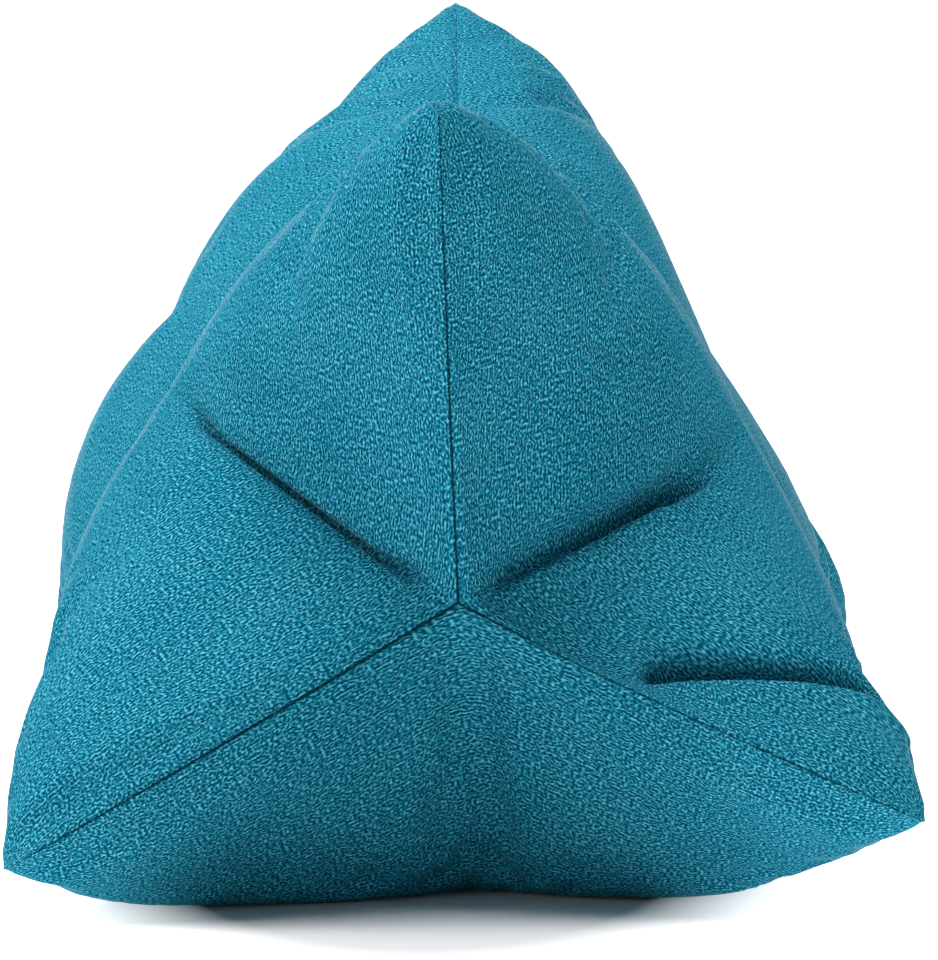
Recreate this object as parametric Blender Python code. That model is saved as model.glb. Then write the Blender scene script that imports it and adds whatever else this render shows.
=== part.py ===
# Neck roll pillow: three bone-shaped panels sewn edge to edge and filled, lying on its lower panel.
# Metres. X runs to the right, Y from the near end to the far end, Z up. The origin is on the
# surface the pillow lies on, below the middle of it.
# Each panel is a grid. Its long edges are the seams, its middle line dives into a crease at both
# ends, and its short edges are folded at the middle, the pole of the end, so that the three short
# edges meet in a three-armed seam.

from dataclasses import dataclass

import bmesh
import bpy
import numpy as np

NODE = "pillow"

POLE_HEIGHT = 0.072
PANEL_HALF = 0.218
PANEL_LENGTH = 2 * PANEL_HALF
TIP_RADIUS = 0.117
SHOULDER_RADIUS = 0.081
TOP_SEAM_ANGLE = 90.0
LEFT_PANEL_ANGLE = 150.0
THIRD_TURN = 120.0

ACROSS_CELLS = 38
ACROSS_CROWDING = 1.15
ROW_STEPS = ((0.060, 13), (0.120, 9), (0.316, 10), (0.376, 7), (0.436, 10))
WELD_DISTANCE = 0.00001
SMALLEST = 1e-9

EDGE_BLEND = 0.012
SEAM_LEAN = 16.0
CREASE_REACH = 0.34
END_SEAM_BOW = 0.009
END_SEAM_BOW_FADE = 0.028
SWELL_OUTWARD = 0.8
SWELL_ENDWARD = 0.6
PRESSED_PLACE = 0.060
PRESSED_WIDTH = 0.060
PRESSED_OUT = 0.022
PRESSED_END = 0.011
EAR_LEAN = 0.7
EAR_SPREAD = 0.72
CAP_START = 0.45
CAP_FADE = 0.30
CAP_LIMIT = 2.0
FLOOR_SOFTNESS = 0.004

FOLD_SAMPLES = 81
FOLD_FADE = 0.25
FOLD_EDGE = 0.012
FOLD_SIDE = 0.10
LIP_PLACE = 0.0045
LIP_WIDTH = 0.0050
OVERHANG_WIDTH = 0.0030
STEEP_LEAST = 0.0040
SOFT_WIDTH = 0.10
SOFT_REACH = 0.42
SOFT_EDGE = 0.010

FABRIC_COLOR = (0.016, 0.175, 0.245, 1.0)
FABRIC_ROUGHNESS = 0.9


@dataclass(frozen=True)
class Row:
    """One row of weave between a short edge and the waist, the same for all panels.

    Place is its distance from the short edge. The row leaves the middle line at the rise and
    meets the seam at the turn, and the lobe is how far it swells between them.
    """

    place: float
    seam_radius: float
    seam_y: float
    middle_radius: float
    middle_y: float
    turn: float
    reach: float
    rise: float
    lobe: float


ROWS = (
    Row(0.000, 0.117, 0.212, 0.000, 0.182, 0.0, 0.33, 46.0, 0.000),
    Row(0.010, 0.116, 0.203, 0.009, 0.178, 55.0, 0.26, 46.0, 0.002),
    Row(0.022, 0.114, 0.191, 0.020, 0.172, 72.0, 0.34, 48.0, 0.006),
    Row(0.037, 0.111, 0.176, 0.035, 0.163, 80.0, 0.39, 48.0, 0.010),
    Row(0.057, 0.106, 0.157, 0.051, 0.150, 83.0, 0.41, 44.0, 0.012),
    Row(0.077, 0.102, 0.138, 0.065, 0.135, 84.0, 0.41, 34.0, 0.010),
    Row(0.097, 0.098, 0.118, 0.075, 0.118, 84.0, 0.39, 18.0, 0.007),
    Row(0.117, 0.094, 0.098, 0.079, 0.099, 84.0, 0.37, 6.0, 0.004),
    Row(0.140, 0.088, 0.076, 0.077, 0.076, 84.0, 0.36, 0.0, 0.002),
    Row(0.170, 0.081, 0.047, 0.070, 0.047, 84.0, 0.36, 0.0, 0.000),
    Row(0.195, 0.077, 0.022, 0.065, 0.022, 84.0, 0.36, 0.0, 0.000),
    Row(0.218, 0.076, 0.000, 0.064, 0.000, 84.0, 0.36, 0.0, 0.000),
)


@dataclass(frozen=True)
class Ear:
    """The tip at one end of a seam: its direction, reach, rounding and fullness."""

    angle: float
    reach: float
    cap: float
    fullness: float


@dataclass(frozen=True)
class Seam:
    """A long seam with an ear at each end."""

    name: str
    near: Ear
    far: Ear


SEAMS = (
    Seam("top", Ear(92.2, 0.120, 0.019, 0.42), Ear(90.5, 0.120, 0.010, 0.76)),
    Seam("left", Ear(209.4, 0.1215, 0.009, 0.65), Ear(210.0, 0.120, 0.011, 1.85)),
    Seam("right", Ear(336.0, 0.119, 0.009, 0.42), Ear(332.0, 0.117, 0.011, 0.40)),
)


@dataclass(frozen=True)
class Cheek:
    """One end of a panel: its crease's direction, shoulder, depth, pressing, fullness and softness."""

    angle: float
    shoulder: float
    crease: float
    pressed: float
    fullness: float
    softness: float


@dataclass(frozen=True)
class Panel:
    """A panel between two seams, with a cheek at each end."""

    name: str
    first_seam: int
    second_seam: int
    near: Cheek
    far: Cheek


PANELS = (
    Panel("left", 0, 1, Cheek(146.0, 0.082, 0.70, 0.00, 0.85, 0.0), Cheek(147.0, 0.095, 0.70, 0.00, 0.70, 0.0)),
    Panel("bottom", 1, 2, Cheek(274.0, 0.077, 0.70, 0.55, 0.70, 1.0), Cheek(270.0, 0.075, 0.70, 0.45, 1.8, 0.6)),
    Panel("right", 2, 0, Cheek(383.3, 0.0705, 0.30, 0.10, 1.25, 0.0), Cheek(388.0, 0.063, 1.10, 0.00, 1.5, 0.0)),
)


@dataclass(frozen=True)
class Fold:
    """A crease pressed into a panel, from its start through its bend to its end.

    Across runs from -1 at the first seam to 1 at the second. Place is measured from the near
    short edge. The lip is the swelling beside the crease, its sign is its side, and it leans
    over the crease by the overhang. The crease falls steeply from the lip and rises gently
    over its width on the other side.
    """

    name: str
    panel: int
    start_across: float
    start_place: float
    bend_across: float
    bend_place: float
    end_across: float
    end_place: float
    depth: float
    width: float
    steep: float
    lip: float
    overhang: float


FOLDS = (
    Fold("left crease", 0, 0.00, 0.005, 0.015, 0.045, 0.00, 0.098, 0.0045, 0.0034, 0.0016, -0.0008, 0.0016),
    Fold("right crease", 2, 0.00, 0.004, 0.005, 0.042, -0.04, 0.088, 0.0042, 0.0065, 0.0020, -0.0006, 0.0010),
    Fold("right second crease", 2, -0.07, 0.012, -0.10, 0.026, -0.19, 0.046, 0.0010, 0.0050, 0.0022, -0.0003, 0.0),
    Fold("ear crease", 2, -0.30, 0.013, -0.48, 0.021, -0.80, 0.044, 0.0090, 0.0070, 0.0022, -0.0016, 0.0016),
    Fold("far left crease", 0, -0.02, 0.424, -0.03, 0.380, 0.00, 0.330, 0.0045, 0.0070, 0.0070, -0.0020, 0.0),
    Fold("far right crease", 2, 0.02, 0.424, 0.04, 0.390, 0.03, 0.345, 0.0045, 0.0070, 0.0070, 0.0020, 0.0),
    Fold("far ear crease", 0, 0.38, 0.428, 0.52, 0.414, 0.76, 0.402, 0.0060, 0.0070, 0.0040, 0.0030, 0.0),
)


def ease(value):
    """Gives a smooth rise from 0 to 1 while the value goes from 0 to 1."""
    held = np.clip(value, 0.0, 1.0)
    return held * held * (3.0 - 2.0 * held)


def unit(vector):
    """Scales vectors to the length one."""
    return vector / np.maximum(np.linalg.norm(vector, axis=-1, keepdims=True), SMALLEST)


def polar(angle, radius, y):
    """Places points round the long axis of the pillow."""
    turned = np.radians(angle)
    return np.stack([radius * np.cos(turned), y, radius * np.sin(turned)], axis=-1)


def from_edge(place):
    """Gives the distance to the nearer short edge."""
    return PANEL_HALF - np.abs(place - PANEL_HALF)


def end_side(place):
    """Gives -1 on the near half and 1 on the far half."""
    return np.where(place < PANEL_HALF, -1.0, 1.0)


def read_rows(column, place):
    """Reads a column of the row table at the places with a smooth curve through its values."""
    at = np.array([row.place for row in ROWS])
    value = np.array([getattr(row, column) for row in ROWS])
    slope = np.gradient(value, at)
    slope[-1] = 0.0
    left = np.clip(np.searchsorted(at, place, side="right") - 1, 0, len(at) - 2)
    width = at[left + 1] - at[left]
    t = (place - at[left]) / width
    from_left = value[left] * (1 + 2 * t) * (1 - t) ** 2 + slope[left] * width * t * (1 - t) ** 2
    from_right = value[left + 1] * t * t * (3 - 2 * t) - slope[left + 1] * width * t * t * (1 - t)
    return from_left + from_right


def toward_end(near, far, waist, place):
    """Mixes the waist's value into that of the end on the same half."""
    weight = 1.0 - ease(from_edge(place) / PANEL_HALF)
    return waist + (np.where(place < PANEL_HALF, near, far) - waist) * weight


def seam_line(index, place):
    """Gives the points of a long seam and its outward direction."""
    near, far = SEAMS[index].near, SEAMS[index].far
    angle = toward_end(near.angle, far.angle, TOP_SEAM_ANGLE + THIRD_TURN * index, place)
    scale = toward_end(near.reach / TIP_RADIUS, far.reach / TIP_RADIUS, 1.0, place)
    radius = read_rows("seam_radius", from_edge(place)) * scale
    y = read_rows("seam_y", from_edge(place)) * end_side(place)
    return polar(angle, radius, y), polar(angle, np.ones_like(place), np.zeros_like(place))


def middle_line(index, place):
    """Gives the points of a panel's middle line and its outward direction."""
    near, far = PANELS[index].near, PANELS[index].far
    angle = toward_end(near.angle, far.angle, LEFT_PANEL_ANGLE + THIRD_TURN * index, place)
    scale = toward_end(near.shoulder / SHOULDER_RADIUS, far.shoulder / SHOULDER_RADIUS, 1.0, place)
    pressed = np.where(place < PANEL_HALF, near.pressed, far.pressed)
    pressed = pressed * ease(1.0 - np.abs(from_edge(place) - PRESSED_PLACE) / PRESSED_WIDTH)
    radius = read_rows("middle_radius", from_edge(place)) * scale + pressed * PRESSED_OUT
    y = (read_rows("middle_y", from_edge(place)) + pressed * PRESSED_END) * end_side(place)
    return polar(angle, radius, y), polar(angle, np.ones_like(place), np.zeros_like(place))


def curve_between(start, start_pull, end, end_pull, t):
    """Draws a cubic curve from start to end with a pull at each of them."""
    t = t[None, :, None]
    rest = 1.0 - t
    ends = rest ** 3 * start[:, None] + t ** 3 * end[:, None]
    first = 3 * rest ** 2 * t * (start + start_pull)[:, None]
    second = 3 * rest * t ** 2 * (end + end_pull)[:, None]
    return ends + first + second


def half_panel(index, seam_index, turn_sign, place, across):
    """Builds the half of a panel between its middle line and one seam."""
    panel, seam = PANELS[index], SEAMS[seam_index]
    inner, near_half = from_edge(place), place < PANEL_HALF
    endward = end_side(place)[:, None] * np.array([0.0, 1.0, 0.0])
    middle, middle_out = middle_line(index, place)
    edge, edge_out = seam_line(seam_index, place)
    chord = np.linalg.norm(middle - edge, axis=-1, keepdims=True)

    tip = seam_line(seam_index, np.where(near_half, 0.0, PANEL_LENGTH))[0]
    arm = unit(tip - endward * ROWS[0].middle_y)
    blend = ease(inner / EDGE_BLEND)[:, None]

    sideways = np.cross(middle_out, (0.0, 1.0, 0.0)) * turn_sign
    course = unit(np.gradient(middle, axis=0))
    lift = unit(np.cross(course, sideways))
    lift = lift * np.sign(np.sum(lift * (middle_out + endward), axis=-1, keepdims=True))
    rise = read_rows("rise", inner) * toward_end(panel.near.crease, panel.far.crease, 1.0, place)
    rise = np.radians(rise)[:, None]
    leave = (1 - blend) * arm + blend * unit(np.cos(rise) * sideways + np.sin(rise) * lift)

    lean = np.radians(SEAM_LEAN)
    inward = -np.cos(lean) * edge_out - np.sin(lean) * endward
    edge_sideways = np.cross(edge_out, (0.0, 1.0, 0.0)) * -turn_sign
    turn = np.radians(read_rows("turn", inner))[:, None]
    arrive = (1 - blend) * -arm + blend * unit(np.cos(turn) * inward + np.sin(turn) * edge_sideways)

    fullness = np.where(
        near_half, seam.near.fullness * panel.near.fullness, seam.far.fullness * panel.far.fullness
    )
    swell = unit(unit(middle_out + edge_out) * SWELL_OUTWARD + endward * SWELL_ENDWARD)
    swell = swell * (read_rows("lobe", inner) * fullness)[:, None]
    swell = swell + endward * (END_SEAM_BOW * (1 - ease(inner / END_SEAM_BOW_FADE)))[:, None]
    start_pull = unit(leave) * chord * CREASE_REACH + swell
    end_pull = unit(arrive) * chord * read_rows("reach", inner)[:, None] + swell
    return curve_between(middle, start_pull, edge, end_pull, across)


def panel_points(index, place, across):
    """Builds one panel as a grid of points, rows from the near end, columns across."""
    first = half_panel(index, PANELS[index].first_seam, -1.0, place, across)
    second = half_panel(index, PANELS[index].second_seam, 1.0, place, across)
    return np.concatenate([first[:, :0:-1], second], axis=1)


def blunt_tip(points, tip, outward, side, cap):
    """Rounds one ear off at its tip."""
    axis = unit(outward + np.array([0.0, side * EAR_LEAN, 0.0]))
    away = points - (tip - axis * cap / EAR_SPREAD)
    size = np.maximum(np.linalg.norm(away, axis=-1, keepdims=True), SMALLEST)
    ahead = np.sum(away * axis, axis=-1, keepdims=True) / size
    weight = ease((ahead - CAP_START) / CAP_FADE) * (size > cap) * (size < CAP_LIMIT * cap)
    return points - weight * away * (1.0 - cap / size)


def blunt_tips(points):
    """Rounds the six ears off at their tips."""
    for index, seam in enumerate(SEAMS):
        for place, side, ear in ((0.0, -1.0, seam.near), (PANEL_LENGTH, 1.0, seam.far)):
            tip, outward = seam_line(index, np.array([place]))
            points = blunt_tip(points, tip[0], outward[0], side, ear.cap)
    return points


def surface_normals(grid):
    """Gives the outward directions of one panel's grid."""
    normal = unit(np.cross(np.gradient(grid, axis=1), np.gradient(grid, axis=0)))
    outward = grid * np.array([1.0, 0.0, 1.0])
    return normal * np.sign(np.median(np.sum(normal * outward, axis=-1)))


def read_grid(grid, place, across, at_place, at_across):
    """Reads points between the rows and columns of a panel's grid."""
    row = np.interp(at_place, place, np.arange(len(place)))
    column = np.interp(at_across, across, np.arange(len(across)))
    top = np.minimum(row.astype(int), len(place) - 2)
    left = np.minimum(column.astype(int), len(across) - 2)
    down, right = (row - top)[:, None], (column - left)[:, None]
    upper = grid[top, left] * (1 - right) + grid[top, left + 1] * right
    lower = grid[top + 1, left] * (1 - right) + grid[top + 1, left + 1] * right
    return upper * (1 - down) + lower * down


def press_fold(grid, fold, place, across):
    """Presses one crease into a panel and raises the cloth beside it."""
    t = np.linspace(0.0, 1.0, FOLD_SAMPLES)
    first, middle, last = (1 - t) ** 2, 2 * t * (1 - t), t * t
    at_place = first * fold.start_place + middle * fold.bend_place + last * fold.end_place
    at_across = first * fold.start_across + middle * fold.bend_across + last * fold.end_across
    path = read_grid(grid, place, across, at_place, at_across)
    apart = np.linalg.norm(grid[:, :, None, :] - path, axis=-1)
    nearest, gap = np.argmin(apart, axis=-1), np.min(apart, axis=-1)
    normal = surface_normals(grid)
    course = unit(np.gradient(path, axis=0))[nearest]
    side = unit(np.cross(normal, course)) * np.sign(fold.lip)
    beside = np.sum((grid - path[nearest]) * side, axis=-1)
    steep = max(fold.steep, STEEP_LEAST)
    groove = fold.depth * np.exp(-(gap / np.where(beside > 0.0, steep, fold.width)) ** 2)
    past = np.abs(gap - np.abs(beside)) / fold.width
    ridge = abs(fold.lip) * np.exp(-((beside - LIP_PLACE) / LIP_WIDTH) ** 2 - past ** 2)
    over = fold.overhang * np.exp(-(beside / OVERHANG_WIDTH - 1.0) ** 2 - past ** 2)
    strength = ease(np.minimum(t, 1 - t) / FOLD_FADE)[nearest]
    strength = strength * ease(from_edge(place) / FOLD_EDGE)[:, None]
    strength = strength * ease((1 - np.abs(across)) / FOLD_SIDE)
    return grid + (normal * (ridge - groove)[..., None] - side * over[..., None]) * strength[..., None]


def soften(grid, panel, place, across):
    """Rounds a panel's middle line off into a soft trough."""
    spread = np.exp(-((across[:, None] - across[None, :]) / SOFT_WIDTH) ** 2) * np.gradient(across)
    softened = np.einsum("ij,rjk->rik", spread / spread.sum(axis=1, keepdims=True), grid)
    share = toward_end(panel.near.softness, panel.far.softness, 0.0, place)
    share = ease(share * 2.0) * ease(from_edge(place) / SOFT_EDGE)
    share = share[:, None] * (1 - ease(np.abs(across) / SOFT_REACH))
    return grid + (softened - grid) * share[..., None]


def settle(points):
    """Raises the pillow to its height and flattens it where it lies."""
    height = points[..., 2] + POLE_HEIGHT
    soft = (height + FLOOR_SOFTNESS) ** 2 / (4 * FLOOR_SOFTNESS)
    flat = np.where(np.abs(height) < FLOOR_SOFTNESS, soft, np.maximum(height, 0.0))
    return np.stack([points[..., 0], points[..., 1], flat], axis=-1)


def centre(points):
    """Moves the middle of the pillow's outline over the origin."""
    low, high = points.min(axis=(0, 1, 2)), points.max(axis=(0, 1, 2))
    return points - (low + high) / 2 * np.array([1.0, 1.0, 0.0])


def pillow_points(place, across):
    """Builds the three panels of the pillow as it lies."""
    grids = blunt_tips(np.stack([panel_points(index, place, across) for index in range(len(PANELS))]))
    columns = np.concatenate([-across[:0:-1], across])
    for index, panel in enumerate(PANELS):
        grids[index] = soften(grids[index], panel, place, columns)
    for fold in FOLDS:
        grids[fold.panel] = press_fold(grids[fold.panel], fold, place, columns)
    return centre(settle(grids))


def row_places():
    """Spaces the rows along a panel, closer where the creases are."""
    places, start = [np.zeros(1)], 0.0
    for stop, count in ROW_STEPS:
        places.append(np.linspace(start, stop, count + 1)[1:])
        start = stop
    return np.concatenate(places)


def fabric():
    """Makes the plain fabric of the panels."""
    material = bpy.data.materials.new("woven_fabric")
    material.use_nodes = True
    shader = material.node_tree.nodes["Principled BSDF"]
    shader.inputs["Base Color"].default_value = FABRIC_COLOR
    shader.inputs["Roughness"].default_value = FABRIC_ROUGHNESS
    return material


def sew(grids, name, material):
    """Joins the panels along their seams into one closed object."""
    rows, columns = grids.shape[1:3]
    net = bmesh.new()
    for grid in grids:
        points = [[net.verts.new(point) for point in row] for row in grid]
        for row in range(rows - 1):
            here, below = points[row], points[row + 1]
            for column in range(columns - 1):
                net.faces.new((here[column], below[column], below[column + 1], here[column + 1]))
    bmesh.ops.remove_doubles(net, verts=net.verts, dist=WELD_DISTANCE)
    for face in net.faces:
        face.smooth = True
    mesh = bpy.data.meshes.new(name)
    net.to_mesh(mesh)
    net.free()
    mesh.materials.append(material)
    bpy.context.scene.collection.objects.link(bpy.data.objects.new(name, mesh))


def main():
    """Builds the pillow in an empty scene."""
    for old in list(bpy.data.objects):
        bpy.data.objects.remove(old, do_unlink=True)
    across = np.linspace(0.0, 1.0, ACROSS_CELLS // 2 + 1) ** ACROSS_CROWDING
    sew(pillow_points(row_places(), across), NODE, fabric())


if __name__ == "__main__":
    main()
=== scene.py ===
# Neck roll pillow: three bone-shaped panels of crinkled cloth, sewn edge to edge and filled, lying
# on its lower panel. Metres. X runs to the right, Y from the near end to the far end, Z up.

import logging
import math
from dataclasses import dataclass, field, replace
from enum import Enum

import bpy
import numpy as np
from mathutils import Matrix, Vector, kdtree


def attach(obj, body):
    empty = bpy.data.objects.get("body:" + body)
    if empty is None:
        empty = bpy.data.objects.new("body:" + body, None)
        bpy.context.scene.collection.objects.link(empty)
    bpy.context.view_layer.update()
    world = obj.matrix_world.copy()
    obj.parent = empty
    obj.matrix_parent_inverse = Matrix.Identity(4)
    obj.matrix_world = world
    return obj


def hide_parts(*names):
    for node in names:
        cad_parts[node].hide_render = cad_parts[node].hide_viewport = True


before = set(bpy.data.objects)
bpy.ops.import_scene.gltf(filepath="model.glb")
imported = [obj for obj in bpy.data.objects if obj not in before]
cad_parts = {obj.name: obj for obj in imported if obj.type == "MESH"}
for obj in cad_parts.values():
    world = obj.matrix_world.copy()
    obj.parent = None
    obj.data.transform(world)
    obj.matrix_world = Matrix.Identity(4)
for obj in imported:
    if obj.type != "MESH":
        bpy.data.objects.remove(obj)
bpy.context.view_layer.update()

CAD_NODE = "pillow"
SMALLEST = 1e-9
UP = np.array([0.0, 0.0, 1.0])
ALONG = np.array([0.0, 1.0, 0.0])
WHITE = (1.0, 1.0, 1.0)
NOISE_MIDDLE = 0.5

Array = np.ndarray
Triple = tuple[float, float, float]
Socket = bpy.types.NodeSocket

log = logging.getLogger("neck_roll")


class Turn(Enum):
    """The side of a panel's middle line on which a half lies."""

    FIRST = -1.0
    SECOND = 1.0


class End(Enum):
    """The two ends of the pillow, by their side of the origin along Y."""

    NEAR = -1.0
    FAR = 1.0


def ease(value: Array) -> Array:
    """Gives a smooth rise from 0 to 1 while the value goes from 0 to 1."""
    held = np.clip(value, 0.0, 1.0)
    return held * held * (3.0 - 2.0 * held)


def unit(vector: Array) -> Array:
    """Scales vectors to the length one."""
    return vector / np.maximum(np.linalg.norm(vector, axis=-1, keepdims=True), SMALLEST)


def bell(value: Array) -> Array:
    """Gives 1 at the value 0, falling smoothly to 0 on both sides."""
    return np.exp(-(value**2))


def opaque(colour: Triple) -> tuple[float, float, float, float]:
    """Adds full opacity to a colour."""
    return (*colour, 1.0)


def both_sides(across: Array) -> Array:
    """Turns the steps across a half into those across a whole panel, from -1 to 1."""
    return np.concatenate([-across[:0:-1], across])


def add_zeros(values: Array, axis: int, before: int, after: int) -> Array:
    """Adds layers of zeros before and after one axis."""
    return np.pad(values, [(before, after) if number == axis else (0, 0) for number in range(values.ndim)])


def face_corners(grids: Array) -> Array:
    """Gives the four corners of every face of the panel grids, turned so that it faces outwards."""
    here, below = grids[:, :-1], grids[:, 1:]
    return np.stack([here[:, :, :-1], below[:, :, :-1], below[:, :, 1:], here[:, :, 1:]], axis=3)


def gaps_to(points: Array, marked: Array) -> tuple[Array, Array]:
    """Measures how far each point lies from the nearest marked one.

    Args:
        points: The points.
        marked: The numbers of the marked points.

    Returns:
        The distance of each point, and the number of the nearest marked point.
    """
    tree = kdtree.KDTree(len(marked))
    for number in marked:
        tree.insert(points[number], int(number))
    tree.balance()
    found = [tree.find(point) for point in points]
    return np.array([near[2] for near in found]), np.array([near[1] for near in found])


def polar(angle: Array, radius: Array, y: Array) -> Array:
    """Places points round the long axis of the pillow."""
    turned = np.radians(angle)
    return np.stack([radius * np.cos(turned), y, radius * np.sin(turned)], axis=-1)


def smooth_read(at: Array, value: Array, place: Array, flat_end: bool = False) -> Array:
    """Reads a smooth curve through values at new places.

    Args:
        at: The rising places of the values.
        value: The values, with those of one place along the first axis.
        place: Where to read.
        flat_end: Whether the curve is level at its last value.

    Returns:
        The values at the new places, along the first axis.
    """
    slope = np.gradient(value, at, axis=0)
    if flat_end:
        slope[-1] = 0.0
    left = np.clip(np.searchsorted(at, place, side="right") - 1, 0, len(at) - 2)
    shape = (-1,) + (1,) * (value.ndim - 1)
    width = (at[left + 1] - at[left]).reshape(shape)
    t = ((place - at[left]) / width.reshape(-1)).reshape(shape)
    from_left = value[left] * (1 + 2 * t) * (1 - t) ** 2 + slope[left] * width * t * (1 - t) ** 2
    from_right = value[left + 1] * t * t * (3 - 2 * t) - slope[left + 1] * width * t * t * (1 - t)
    return from_left + from_right


@dataclass(frozen=True)
class Row:
    """One row of weave between a short edge and the waist, the same for all panels.

    Place is its distance from the short edge. The row leaves the middle line at the rise and
    meets the seam at the turn, pulled straight for the reach, and the lobe is how far it swells
    between them.
    """

    place: float
    seam_radius: float
    seam_y: float
    middle_radius: float
    middle_y: float
    turn: float
    reach: float
    rise: float
    lobe: float


@dataclass(frozen=True)
class Ear:
    """The tip at one end of a seam: its direction, reach, rounding and fullness."""

    angle: float
    reach: float
    cap: float
    fullness: float


@dataclass(frozen=True)
class LongSeam:
    """A long seam with an ear at each end."""

    near: Ear
    far: Ear


@dataclass(frozen=True)
class Cheek:
    """One end of a panel: its crease's direction, shoulder, depth, pressing, fullness and softness."""

    angle: float
    shoulder: float
    crease: float
    pressed: float
    fullness: float
    softness: float


@dataclass(frozen=True)
class Panel:
    """A panel between two seams, with a cheek at each end."""

    first_seam: int
    second_seam: int
    near: Cheek
    far: Cheek


@dataclass(frozen=True)
class Fold:
    """A crease pressed into a panel, from its start through its bend to its end.

    Across runs from -1 at the first seam to 1 at the second. Place is measured from the near
    short edge. The lip is the swelling beside the crease, its sign is its side, and it leans
    over the crease by the overhang. The crease falls steeply from the lip and rises gently
    over its width on the other side.
    """

    name: str
    panel: int
    start_across: float
    start_place: float
    bend_across: float
    bend_place: float
    end_across: float
    end_place: float
    depth: float
    width: float
    steep: float
    lip: float
    overhang: float


ROWS = (
    Row(0.000, 0.117, 0.212, 0.000, 0.182, 0.0, 0.33, 46.0, 0.000),
    Row(0.010, 0.116, 0.203, 0.009, 0.178, 55.0, 0.26, 46.0, 0.002),
    Row(0.022, 0.114, 0.191, 0.020, 0.172, 72.0, 0.34, 48.0, 0.006),
    Row(0.037, 0.111, 0.176, 0.035, 0.163, 80.0, 0.39, 48.0, 0.010),
    Row(0.057, 0.106, 0.157, 0.051, 0.150, 83.0, 0.41, 44.0, 0.012),
    Row(0.077, 0.102, 0.138, 0.065, 0.135, 84.0, 0.41, 34.0, 0.010),
    Row(0.097, 0.098, 0.118, 0.075, 0.118, 84.0, 0.39, 18.0, 0.007),
    Row(0.117, 0.094, 0.098, 0.079, 0.099, 84.0, 0.37, 6.0, 0.004),
    Row(0.140, 0.088, 0.076, 0.077, 0.076, 84.0, 0.36, 0.0, 0.002),
    Row(0.170, 0.081, 0.047, 0.070, 0.047, 84.0, 0.36, 0.0, 0.000),
    Row(0.195, 0.077, 0.022, 0.065, 0.022, 84.0, 0.36, 0.0, 0.000),
    Row(0.218, 0.076, 0.000, 0.064, 0.000, 84.0, 0.36, 0.0, 0.000),
)

# The top, the left and the right seam.
SEAMS = (
    LongSeam(Ear(92.2, 0.120, 0.019, 0.42), Ear(90.5, 0.120, 0.010, 0.76)),
    LongSeam(Ear(209.4, 0.1215, 0.009, 0.65), Ear(210.0, 0.120, 0.011, 1.85)),
    LongSeam(Ear(336.0, 0.119, 0.009, 0.42), Ear(332.0, 0.117, 0.011, 0.40)),
)

# The left, the bottom and the right panel.
PANELS = (
    Panel(0, 1, Cheek(146.0, 0.082, 0.70, 0.00, 0.85, 0.0), Cheek(147.0, 0.095, 0.70, 0.00, 0.70, 0.0)),
    Panel(1, 2, Cheek(274.0, 0.077, 0.70, 0.55, 0.70, 1.0), Cheek(270.0, 0.075, 0.70, 0.45, 1.8, 0.6)),
    Panel(2, 0, Cheek(383.3, 0.0705, 0.30, 0.10, 1.25, 0.0), Cheek(388.0, 0.063, 1.10, 0.00, 1.5, 0.0)),
)

FOLDS = (
    Fold("left crease", 0, 0.00, 0.005, 0.015, 0.045, 0.00, 0.098, 0.0045, 0.0034, 0.0016, -0.0008, 0.0016),
    Fold("right crease", 2, 0.00, 0.004, 0.005, 0.042, -0.04, 0.088, 0.0042, 0.0065, 0.0020, -0.0006, 0.0010),
    Fold("fine crease", 2, -0.07, 0.012, -0.10, 0.026, -0.19, 0.046, 0.001, 0.005, 0.0022, -0.0003, 0.0),
    Fold("ear crease", 2, -0.30, 0.013, -0.48, 0.021, -0.80, 0.044, 0.0090, 0.0070, 0.0022, -0.0016, 0.0016),
    Fold("far left crease", 0, -0.02, 0.424, -0.03, 0.380, 0.00, 0.330, 0.0045, 0.0070, 0.0070, -0.0020, 0.0),
    Fold("far right crease", 2, 0.02, 0.424, 0.04, 0.390, 0.03, 0.345, 0.0045, 0.0070, 0.0070, 0.0020, 0.0),
    Fold("far ear crease", 0, 0.38, 0.428, 0.52, 0.414, 0.76, 0.402, 0.0060, 0.0070, 0.0040, 0.0030, 0.0),
)


@dataclass(frozen=True)
class Sheet:
    """One panel's points, with the place of each row and the step of each column, from -1 to 1."""

    points: Array
    place: Array
    columns: Array

    def read(self, at_place: Array, at_across: Array) -> Array:
        """Reads points between the rows and columns.

        Args:
            at_place: The places to read.
            at_across: The steps to read.

        Returns:
            A point for each place and step.
        """
        row = np.interp(at_place, self.place, np.arange(len(self.place)))
        column = np.interp(at_across, self.columns, np.arange(len(self.columns)))
        top = np.minimum(row.astype(int), len(self.place) - 2)
        left = np.minimum(column.astype(int), len(self.columns) - 2)
        down, right = (row - top)[:, None], (column - left)[:, None]
        upper = self.points[top, left] * (1 - right) + self.points[top, left + 1] * right
        lower = self.points[top + 1, left] * (1 - right) + self.points[top + 1, left + 1] * right
        return upper * (1 - down) + lower * down


@dataclass(frozen=True)
class FoldTrace:
    """How a panel's points lie to a crease: directions, distances and the crease's strength there."""

    normal: Array
    side: Array
    beside: Array
    gap: Array
    strength: Array


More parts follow.
